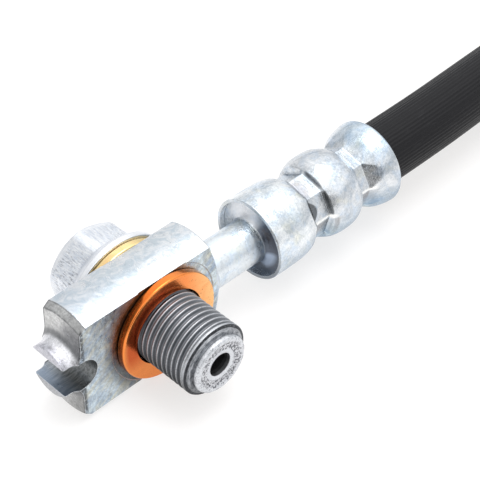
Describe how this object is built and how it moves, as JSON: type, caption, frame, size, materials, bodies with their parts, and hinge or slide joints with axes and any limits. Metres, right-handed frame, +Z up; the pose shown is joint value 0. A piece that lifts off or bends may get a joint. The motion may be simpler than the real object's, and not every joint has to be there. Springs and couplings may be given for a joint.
{
  "type": "brake hose",
  "caption": "Hydraulic brake hose with a crimped banjo end, hollow bolt and copper washers at one end and a female pipe fitting at the other.",
  "frame": {"origin": "on the surface that the banjo end stands on, under the middle of the banjo end's box (banjo, bolt, washers and first sleeve)", "axes": "+X along the banjo's stem towards the hose, -Y along the bolt towards its tip, +Z up"},
  "size_m": [0.2643, 0.0416, 0.0193],
  "materials": {
    "bright_zinc": "bright bluish zinc plate on turned steel",
    "grey_zinc": "dull grey zinc plate on the bolt",
    "copper": "bright annealed copper, satin",
    "black_rubber": "satin black rubber with fine lengthwise ribs"
  },
  "bodies": {
    "root": {"banjo_fitting": "bright_zinc", "banjo_bolt": "grey_zinc", "front_copper_washer": "copper", "rear_copper_washer": "copper", "banjo_sleeve": "bright_zinc", "hose": "black_rubber", "pipe_sleeve": "bright_zinc", "pipe_fitting": "bright_zinc"}
  },
  "joints": []
}
